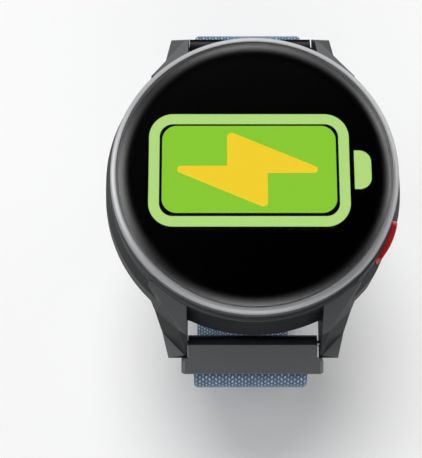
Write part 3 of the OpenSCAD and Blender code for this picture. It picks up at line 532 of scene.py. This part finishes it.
def route(start, heading, runs, step):
    """Evenly spaced points and headings along straight runs and arcs of (length, radius, turn).

    The heading grows in proportion to length on an arc and stays on a straight; its cosine and sine,
    summed along the length in many short moves to a step, give the point.
    """
    spans = [[length, abs(radius * np.radians(turn))] for length, radius, turn in runs]
    knots = np.concatenate([[0], np.cumsum(np.ravel(spans))])
    turns = np.concatenate([[0], np.cumsum(np.ravel([[0, turn] for _, _, turn in runs]))])
    steps = int(round(knots[-1] / step))
    moves_per_step = 32
    along = np.linspace(0, knots[-1], steps * moves_per_step + 1)
    middle = (along[1:] + along[:-1]) / 2
    angle = np.radians(heading + np.interp(middle, knots, turns))
    moves = np.stack([np.cos(angle), np.sin(angle)], -1) * np.diff(along)[:, None]
    points = np.array(start) + np.concatenate([[[0, 0]], np.cumsum(moves, 0)])
    kept = slice(None, None, moves_per_step)
    return along[kept], points[kept], np.radians(heading + np.interp(along[kept], knots, turns))


ring_low, ring_high = box_mm("bezel_ring")
seat_z = box_mm("case_body")[1][2] + RING_GAP
_, crown_points, _ = route((CROWN_OUT_R, 0), CROWN_LEAN, [(0, *arc) for arc in CROWN_ARCS], CROWN_STEP)
crown_points[:, 1] += ring_high[2] - crown_points[:, 1].max()
slope_z = crown_points[0, 1]
below = [[RING_LEDGE_R, ring_low[2]], [RING_SPIGOT_R, ring_low[2]], [RING_SPIGOT_R, seat_z],
         [ring_high[0], seat_z], [ring_high[0], seat_z + RING_FOOT_H]]
inside = [[RING_BORE_R, glass_low[2] - RING_GAP], [RING_LEDGE_R, glass_low[2] - RING_GAP]]

bezel_metal, shader = finish("bezel_metal", {"Metallic": 0.8})
place = shader.node("TexCoord", out="Object")
flat = shader.node("VectorMath", {"operation": "MULTIPLY"}, {0: place, 1: (1.0, 1.0, 0.0)})
radius = shader.node("VectorMath", {"operation": "LENGTH"}, {0: flat}, out="Value")
marks = shader.node("TexNoise", {"noise_dimensions": "1D"}, {"W": radius, "Scale": MARKS_PER_MM / MM})
haze = grain(shader, HAZE_PER_MM)
above = shader.node("SeparateXYZ", None, {0: place}, out=2) / MM - slope_z
# Painted reflection: below the crown the colour fades to a darker grey by height, standing in for a dark
# room seen in the slope.
unshaded_share = (above / (CROWN_FADE * (ring_high[2] - slope_z))).clamp()
silver = (0.5 * marks + 0.5 * haze).mix(tone(*RING_SHADE), tone(*RING_SILVER))
shader.feed({
    "Base Color": unshaded_share.mix(tone(*SLOPE_PAINTED_SHADE), silver),
    "Roughness": RING_ROUGHNESS + HAZE_ROUGHNESS * haze + MARK_ROUGHNESS * marks,
    "Normal": bump(shader, marks, MARK_DEPTH),
})
ring_profile = np.concatenate([below, crown_points, inside])
ring = piece("bezel_crown", lathe(ring_profile, RING_STEPS), bezel_metal, "head", wrap=True)
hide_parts("bezel_ring")


# Case back
# A cover moulded in black plastic is held by four screws on a flat seal. The polished window in its middle
# lies over the pulse sensor, and a flat copper coil under a ferrite sheet takes up the charge.
BACK_BLACK = (48, 49, 51)
BACK_SHADE = (38, 39, 41)
WINDOW_BLACK = (14, 14, 16)
WINDOW_SHADE = (10, 10, 12)
FERRITE = (58, 55, 52)
FERRITE_SHADE = (46, 43, 41)

back_plastic = blasted("back_plastic", BACK_BLACK, BACK_SHADE, roughness=0.5, metallic=0.0, per_mm=5.0)
window_plastic = blasted("sensor_window", WINDOW_BLACK, WINDOW_SHADE, roughness=0.08, metallic=0.0,
                         per_mm=0.2, depth_mm=0.0)
ferrite = blasted("ferrite", FERRITE, FERRITE_SHADE, roughness=0.6, metallic=0.0)
dress(back_plastic, "back_cover")
dress(window_plastic, "sensor_window")
dress(seal_rubber, "back_seal")
dress(bright_steel, "back_screws")
dress(ferrite, "coil_ferrite")
dress(copper, "charging_coil")


# Spring bars
# Each strap end turns on a quick-release bar: a steel tube with a fixed tip, a coil spring and a sliding
# tip with a knob. A black sleeve of acetal runs on the tube. In the watch the spring closes up as the knob
# slides; here the coil keeps the imported spring's size.
# The sleeve's black also stands in for the shade in the gap between case and strap end: painted shade.
SLEEVE_BLACK_AND_SHADE = (22, 22, 23)
SLEEVE_SHADE = (14, 14, 15)
SPRING_WIRE_R = 0.09
SPRING_PITCH = 0.42
SPRING_TURN_STEPS = 20
SPRING_WIRE_STEPS = 8


def coil(middle, length, outer_r):
    """Points of a wire wound round a line along X: a small circle carried along a helix.

    The circle lies across the wire, between the outward direction and the one beside it.
    """
    radius = outer_r - SPRING_WIRE_R
    turns = (length - 2 * SPRING_WIRE_R) / SPRING_PITCH
    rise = SPRING_PITCH / (2 * np.pi)
    angle = np.pi * turns * np.linspace(-1, 1, int(turns * SPRING_TURN_STEPS))[:, None]
    outward = np.stack([0 * angle, np.cos(angle), np.sin(angle)], -1)
    wound = middle + radius * outward + rise * np.stack([angle, 0 * angle, 0 * angle], -1)
    along = np.stack([rise + 0 * angle, -radius * np.sin(angle), radius * np.cos(angle)], -1)
    beside = np.cross(outward, along) / np.hypot(rise, radius)
    turn = np.linspace(0, 2 * np.pi, SPRING_WIRE_STEPS, endpoint=False)[None, :, None]
    return wound + SPRING_WIRE_R * (np.cos(turn) * outward + np.sin(turn) * beside)


# Painted shade: the sleeves are black, which also darkens the gap by the case.
sleeve_black = blasted("sleeve_black", SLEEVE_BLACK_AND_SHADE, SLEEVE_SHADE, roughness=0.5, metallic=0.0)
for end in ("6", "12"):
    dress(sleeve_black, "bar_sleeve_" + end)
    dress(bright_steel, *(part + end for part in ("bar_tube_", "bar_tip_", "bar_release_", "strap_rod_")))
    low, high = box_mm("bar_spring_" + end)
    middle = (low + high) / 2
    grid = coil(middle, high[0] - low[0], (high[2] - low[2]) / 2)
    spring = piece("spring_coil_" + end, grid, bright_steel, "strap_" + end, caps=True)
    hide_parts("bar_spring_" + end)
    slide = next(joint for joint in frame["joints"] if joint["name"] == "release_" + end + "_slide")
    held_x = high[0] if slide["axis"][0] > 0 else low[0]
    held_x * MM
    1 - slide["range_m"][1] / MM / (high[0] - low[0])
    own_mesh(spring)


# Strap ends
# The 6 o'clock end is a flat aluminium plate with a slot, where a pin holds the strap. The 12 o'clock end
# is an open bow with a rod that the strap folds round. The plate is anodised dark grey, the bow black, and
# the bow's black also stands in for the shade behind the strap at 12 o'clock as painted shade.
PLATE_GREY = (96, 97, 99)
PLATE_SHADE = (80, 81, 83)
PLATE_EDGE = 0.12
BOW_BLACK_AND_SHADE = (30, 31, 32)
BOW_SHADE = (22, 23, 24)

plate_metal = blasted("connector_metal", PLATE_GREY, PLATE_SHADE, roughness=0.45, metallic=0.6,
                      depth_mm=0.004, edge_mm=PLATE_EDGE)
# Painted shade: the bow's black also stands in for the shade between ring and strap.
bow_metal = blasted("bow_black_and_shade", BOW_BLACK_AND_SHADE, BOW_SHADE, roughness=0.5, metallic=0.4, depth_mm=0.004)
dress(plate_metal, "connector_6")
dress(bow_metal, "connector_12")


# Woven strap
# Two lengths of blue nylon are woven with leaning loops in several shades of yarn, painted darker between
# the loops as painted shade. The upper one is folded round the rod and back on itself, the lower one runs
# out of its plate, and they meet under the wrist.
STRAP_T = 1.3
CORNER_R = 12.0
FLAP_L = 17.0
FOLD_GAP = 0.05
END_TILT = 25.0
SLOT_IN = 2.1
SLOT_OUT = 4.65
SLOT_UP = 0.15
BEND_R = 2.45
SIDE_LEAN = 9.0
LOOP_W = 0.5
LOOP_L = 0.66
LOOP_LEAN = 0.4
LOOP_DEPTH = 0.09
# Powers of a loop's bows: below 1 its shape is blunter than a sine, above 1 its colour is narrower
SHAPE_ACROSS = 0.7
SHAPE_ALONG = 0.5
COLOUR_ACROSS = 1.5
ROW_STEP = 0.22
ROUND_STEP = 0.16
END_ROUND = 0.5
# Share of its round that an end goes through before it is cut off flat
END_REACH = 0.95
# The dark yarn colour is painted between the loops, where the weave sinks: painted shade.
YARN_PAINTED_SHADE = (63, 88, 114)
YARN_MID = (112, 138, 164)
YARN_LIGHT = (188, 203, 218)
# How far light yarn shows: everywhere, by the loop and by the fibre, with its contrast and its cut
LIGHT_BASE = 0.2
LIGHT_BY_LOOP = 0.45
LIGHT_BY_FIBRE = 0.7
LIGHT_CONTRAST = 2.2
LIGHT_CUT = 0.8
FIBRES_PER_MM = 4.0
FIBRE_ROUGHNESS = 0.15
FIBRE_SHARE = 0.4
YARN_ROUGHNESS = 0.78
YARN_DEPTH = 0.08


def ribbon(path, width, thick, middle_x, relief):
    """Points of a flat ribbon with round edges that follows a path in the plane of Y and Z.

    Its section is two straights joined by half circles. The ends thin out on a round, and relief gives,
    from the places across and along, how far the surface sinks below the section.
    """
    along, points, heading = path
    r = thick / 2
    _, section, turn = route((-width / 2 + r, -r), 0, [(width - thick, r, 180)] * 2, ROUND_STEP)
    section, turn = section[:-1], turn[:-1]
    out = np.stack([np.sin(turn), -np.cos(turn)], -1)
    sink = relief(section[None, :, 0], along[:, None])
    x = section[None, :, 0] - sink * out[None, :, 0]
    lift = section[None, :, 1] - sink * out[None, :, 1]
    to_end = np.minimum(along, along[-1] - along)
    close = np.clip(1 - to_end / END_ROUND, 0, END_REACH)
    lift = lift * np.sqrt(1 - close ** 2)[:, None]
    y = points[:, 0:1] - lift * np.sin(heading)[:, None]
    z = points[:, 1:2] + lift * np.cos(heading)[:, None]
    grid = np.stack([x + middle_x, y, z], -1)
    place = np.stack([x, along[:, None] + 0 * x, 1 - sink / LOOP_DEPTH], -1)
    return grid, place


def loops(across, along):
    """Depth between woven loops: bows across and along, every second column half a loop further on."""
    column = np.floor(across / LOOP_W)
    bow_across = np.abs(np.sin(np.pi * across / LOOP_W))
    bow_along = np.abs(np.sin(np.pi * (along / LOOP_L + 0.5 * (column % 2))))
    return LOOP_DEPTH * (1 - bow_across ** SHAPE_ACROSS * bow_along ** SHAPE_ALONG)


def soft_piece(name, path, width, thick, middle_x, relief, material, body):
    """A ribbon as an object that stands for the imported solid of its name.

    Each point keeps its place across, along and above the low of the weave, as an attribute.
    """
    grid, place = ribbon(path, width, thick, middle_x, relief)
    made = piece(name + "_cloth", grid, material, body, caps=True)
    kept = made.data.attributes.new("weave", "FLOAT_VECTOR", "POINT")
    kept.data.foreach_set("vector", place.astype(np.float32).ravel())
    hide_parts(name)
    return made


fabric, shader = finish("strap_fabric", {"Sheen Weight": 0.25, "Sheen Roughness": 0.5})
weave = shader.node("Attribute", {"attribute_name": "weave"}, out="Vector")
weave_x, weave_y = (shader.node("SeparateXYZ", None, {0: weave}, out=axis) for axis in (0, 1))
column = weave_x.math("FLOOR", weave_x / LOOP_W)
odd = weave_x.math("FLOORED_MODULO", column, 2.0)
row = weave_y / LOOP_L + 0.5 * odd
slant = LOOP_LEAN * (1 - 2 * odd) * (row.math("FRACT", row) - 0.5)
bow_across = abs(weave_x.math("SINE", np.pi * (weave_x / LOOP_W + slant)))
bow_along = abs(row.math("SINE", np.pi * row))
stroke = bow_across ** COLOUR_ACROSS * bow_along
loop_at = shader.node("CombineXYZ", None, {0: column, 1: row.math("FLOOR", row)})
yarn = shader.node("TexWhiteNoise", {"noise_dimensions": "2D"}, {"Vector": loop_at}, out="Value")
fuzz = shader.node("TexNoise", None, {"Vector": weave, "Scale": FIBRES_PER_MM, "Detail": 3.0})
# Painted shade: the blue turns darker where the loops sink between each other.
shaded_blue = stroke.mix(tone(*YARN_PAINTED_SHADE), tone(*YARN_MID))
light = LIGHT_CONTRAST * stroke * (LIGHT_BASE + LIGHT_BY_LOOP * yarn + LIGHT_BY_FIBRE * fuzz) - LIGHT_CUT
shader.feed({
    "Base Color": light.clamp().mix(shaded_blue, tone(*YARN_LIGHT)),
    "Roughness": YARN_ROUGHNESS + FIBRE_ROUGHNESS * fuzz,
    "Normal": bump(shader, (1 - FIBRE_SHARE) * stroke + FIBRE_SHARE * fuzz, YARN_DEPTH),
})

rod_low, rod_high = box_mm("strap_rod_12")
rod_mid = (rod_low + rod_high) / 2
rod_r = (rod_high[2] - rod_low[2]) / 2
fold_r = rod_r + FOLD_GAP + STRAP_T / 2
upper_low, upper_high = box_mm("strap_12")
strap_w = upper_high[0] - upper_low[0]
strap_x = (upper_high[0] + upper_low[0]) / 2
upper_run_z = upper_low[2] + STRAP_T / 2
upper_path = route(
    (rod_mid[1] + fold_r, rod_mid[2] - FLAP_L), 90,
    [(FLAP_L, fold_r, 180),
     (rod_mid[2] - CORNER_R - upper_run_z, CORNER_R, -90),
     (rod_mid[1] - fold_r - CORNER_R - upper_low[1], 0, 0)], ROW_STEP)
upper_strap = soft_piece("strap_12", upper_path, strap_w, STRAP_T, strap_x, loops, fabric,
                         "strap_12")

# The lower strap's path is drawn towards 6 o'clock and turned round at the end
bar_low, bar_high = box_mm("bar_tube_6")
bar_out = -(bar_low[1] + bar_high[1]) / 2
bar_up = (bar_low[2] + bar_high[2]) / 2
lower_low, lower_high = box_mm("strap_6")
tilt, lean = np.radians([END_TILT, SIDE_LEAN])


def from_bar(out, lift):
    """Place of a point that is so far out along the tilted plate and so far above its middle."""
    return np.array([bar_out + out * np.cos(tilt) + lift * np.sin(tilt),
                     bar_up - out * np.sin(tilt) + lift * np.cos(tilt)])


lower_run_z = lower_low[2] + STRAP_T / 2
bend_end = from_bar(SLOT_OUT, SLOT_UP) + BEND_R * np.array([np.cos(lean) - np.sin(tilt),
                                                            -np.cos(tilt) - np.sin(lean)])
side_l = (bend_end[1] - CORNER_R * (1 - np.sin(lean)) - lower_run_z) / np.cos(lean)
run_l = bend_end[0] - side_l * np.sin(lean) - CORNER_R * np.cos(lean) + lower_high[1]
along, points, heading = route(
    from_bar(SLOT_IN, SLOT_UP), -END_TILT,
    [(SLOT_OUT - SLOT_IN, BEND_R, END_TILT - 90 - SIDE_LEAN),
     (side_l, CORNER_R, SIDE_LEAN - 90),
     (run_l, 0, 0)], ROW_STEP)
lower_path = (along, points * [-1, 1], np.pi - heading)
lower_strap = soft_piece("strap_6", lower_path, strap_w, STRAP_T, strap_x, loops, fabric,
                         "strap_6")


# Hook and loop pads
# Thin pads sewn to the strap close it under the wrist and hold the fold at 12 o'clock: stiff nylon hooks
# in rows on one side, a soft brushed pile of loops on the other.
HOOK_PITCH = 0.75
PILE_PITCH = 0.45
# Slants of the pile's second and third wave, and how much longer the third one is
PILE_SLANT = 0.6
PILE_CROSS = 0.7
PILE_LONGER = 1.7
PAD_DEPTH = 0.1
PAD_STEP = 0.19
HOOK_BLUE = (44, 57, 71)
HOOK_SHADE = (34, 45, 58)
PILE_BLUE = (58, 74, 90)
PILE_SHADE = (44, 58, 73)


def hook_rows(across, along):
    """Depth between hooks that stand in straight rows: the product of one wave across and one along."""
    wave_across = np.sin(np.pi * across / HOOK_PITCH)
    wave_along = np.sin(np.pi * along / HOOK_PITCH)
    return PAD_DEPTH * (1 - np.abs(wave_across * wave_along))


def pile(across, along):
    """Depth in a brushed pile: the mean of three crossing waves that never line up."""
    first = np.sin(2 * np.pi * across / PILE_PITCH)
    second = np.sin(2 * np.pi * (PILE_SLANT * across + along) / PILE_PITCH)
    third = np.sin(2 * np.pi * (across - PILE_CROSS * along) / (PILE_LONGER * PILE_PITCH))
    mean = (first + second + third) / 3
    return PAD_DEPTH * (0.5 + 0.5 * mean)


def pad(name, surface, material, body):
    """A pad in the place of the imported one, laid along the longer of its sides in the plane of Y and Z.

    Returns the piece and its flat size in metres.
    """
    low, high = box_mm(name)
    middle = (low + high) / 2
    lies = high[1] - low[1] > high[2] - low[2]
    length, thick = (high - low)[[1, 2] if lies else [2, 1]]
    start = (low[1], middle[2]) if lies else (middle[1], low[2])
    path = route(start, 0 if lies else 90, [(length, 0, 0)], PAD_STEP)
    made = soft_piece(name, path, high[0] - low[0], thick, middle[0], surface, material, body)
    return made, ((high[0] - low[0]) * MM, length * MM)


hooks = blasted("hook_pad", HOOK_BLUE, HOOK_SHADE, roughness=0.55, metallic=0.0, per_mm=4.0)
brushed = blasted("loop_pad", PILE_BLUE, PILE_SHADE, roughness=0.9, metallic=0.0, per_mm=8.0,
                  depth_mm=0.03)
for name, surface, material, slot, body, strap in (
        ("hook_pad_12", hook_rows, hooks, "hook_pad", "strap_12", upper_strap),
        ("flap_hook_pad", hook_rows, hooks, "hook_pad", "strap_12", upper_strap),
        ("flap_loop_pad", pile, brushed, "loop_pad", "strap_12", upper_strap),
        ("loop_pad_6", pile, brushed, "loop_pad", "strap_6", lower_strap)):
    made, cut = pad(name, surface, material, body)


# Grip tab
# A dark moulded tab is welded over the loose end of the lower strap. Cross ribs on it give the fingers a
# hold, and its sides stay smooth.
RIB_PITCH = 1.0
RIB_DEPTH = 0.25
RIB_MARGIN = 1.5
RIB_FADE = 0.8
TAB_GREY = (62, 64, 67)
TAB_SHADE = (50, 52, 55)


def ribs(across, along):
    """Depth between cross ribs: a wave along the tab, fading out near its sides."""
    side = np.clip((strap_w / 2 - RIB_MARGIN - np.abs(across)) / RIB_FADE, 0, 1)
    return RIB_DEPTH * side * (0.5 - 0.5 * np.cos(2 * np.pi * along / RIB_PITCH))


tab_plastic = blasted("tab_plastic", TAB_GREY, TAB_SHADE, roughness=0.55, metallic=0.0)
pad("strap_end_tab", ribs, tab_plastic, "strap_6")


# Floor, lamp and surroundings
# The watch stands on a wide white table under one soft lamp, before a low white backdrop. Round it the room
# is bright in soft patches and dark overhead, so the flat of the glass stays black and its rim turns grey.
FLOOR_WHITE = (250, 250, 250)
FLOOR_HALF = 3.0
FLOOR_GAP = 0.0002
LAMP_LEAN = (-0.42, -0.1, 0.0)
LAMP_SPREAD = 0.5
LAMP_POWER = 1.7
BACKDROP_WHITE = (250, 250, 250)
# Sine of the angle up to which the backdrop is white, and over which it fades out
BACKDROP_RISE = 0.12
BACKDROP_FADE = 0.1
# Each patch: its side and rise in degrees, how sharply it ends, and its strength
PATCHES = [
    (90, 20, 12, 1.8), (165, 30, 11, 2.3), (10, 18, 14, 1.1), (270, 35, 11, 1.4),
    (225, 25, 10, 0.3), (315, 25, 10, 0.2), (42, 24, 24, 1.5),
]

table_white, _ = finish("table_white", {"Base Color": tone(*FLOOR_WHITE), "Specular IOR Level": 0.0})
floor_z = cad_box[0].z - FLOOR_GAP
corners = np.array([[-1, -1, 0], [1, -1, 0], [1, 1, 0], [-1, 1, 0]]) * FLOOR_HALF + [0, 0, floor_z]
floor_mesh = bpy.data.meshes.new("floor")
floor_mesh.from_pydata(corners, [], [[0, 1, 2, 3]])
floor_mesh.materials.append(table_white)
floor = bpy.data.objects.new("floor", floor_mesh)
bpy.context.scene.collection.objects.link(floor)

lamp_data = bpy.data.lights.new("lamp", "SUN")
lamp_data.energy = LAMP_POWER
lamp_data.angle = LAMP_SPREAD
lamp = bpy.data.objects.new("lamp", lamp_data)
lamp.rotation_euler = LAMP_LEAN
lamp.visible_glossy = False
lamp.visible_transmission = False
bpy.context.scene.collection.objects.link(lamp)

room = bpy.data.worlds.new("room")
room.use_nodes = True
sky = Wire(room.node_tree, room.node_tree.nodes["Background"].outputs[0])
sight = sky.node("TexCoord", out="Generated")


def patch(side, rise, sharpness, strength):
    """Light from one direction: the cosine of the angle to it, raised to a power."""
    turn, lift = np.radians([side, rise])
    towards = (np.cos(turn) * np.cos(lift), np.sin(turn) * np.cos(lift), np.sin(lift))
    near = sky.node("VectorMath", {"operation": "DOT_PRODUCT"}, {0: sight, 1: towards}, out="Value")
    return strength * sky.math("MAXIMUM", near, 0.0) ** sharpness


lit = sum(patch(*each) for each in PATCHES)
height = sky.node("SeparateXYZ", None, {0: sight}, out=2)
backdrop = ((BACKDROP_RISE + BACKDROP_FADE - height) / BACKDROP_FADE).clamp()
rays = ("Is Camera Ray", "Is Glossy Ray", "Is Transmission Ray")
seen = sum(sky.node("LightPath", out=ray) for ray in rays).clamp()
sky.feed({"Color": (seen * backdrop).mix(lit, tone(*BACKDROP_WHITE))})
bpy.context.scene.world = room
bpy.context.scene.view_settings.view_transform = "Standard"
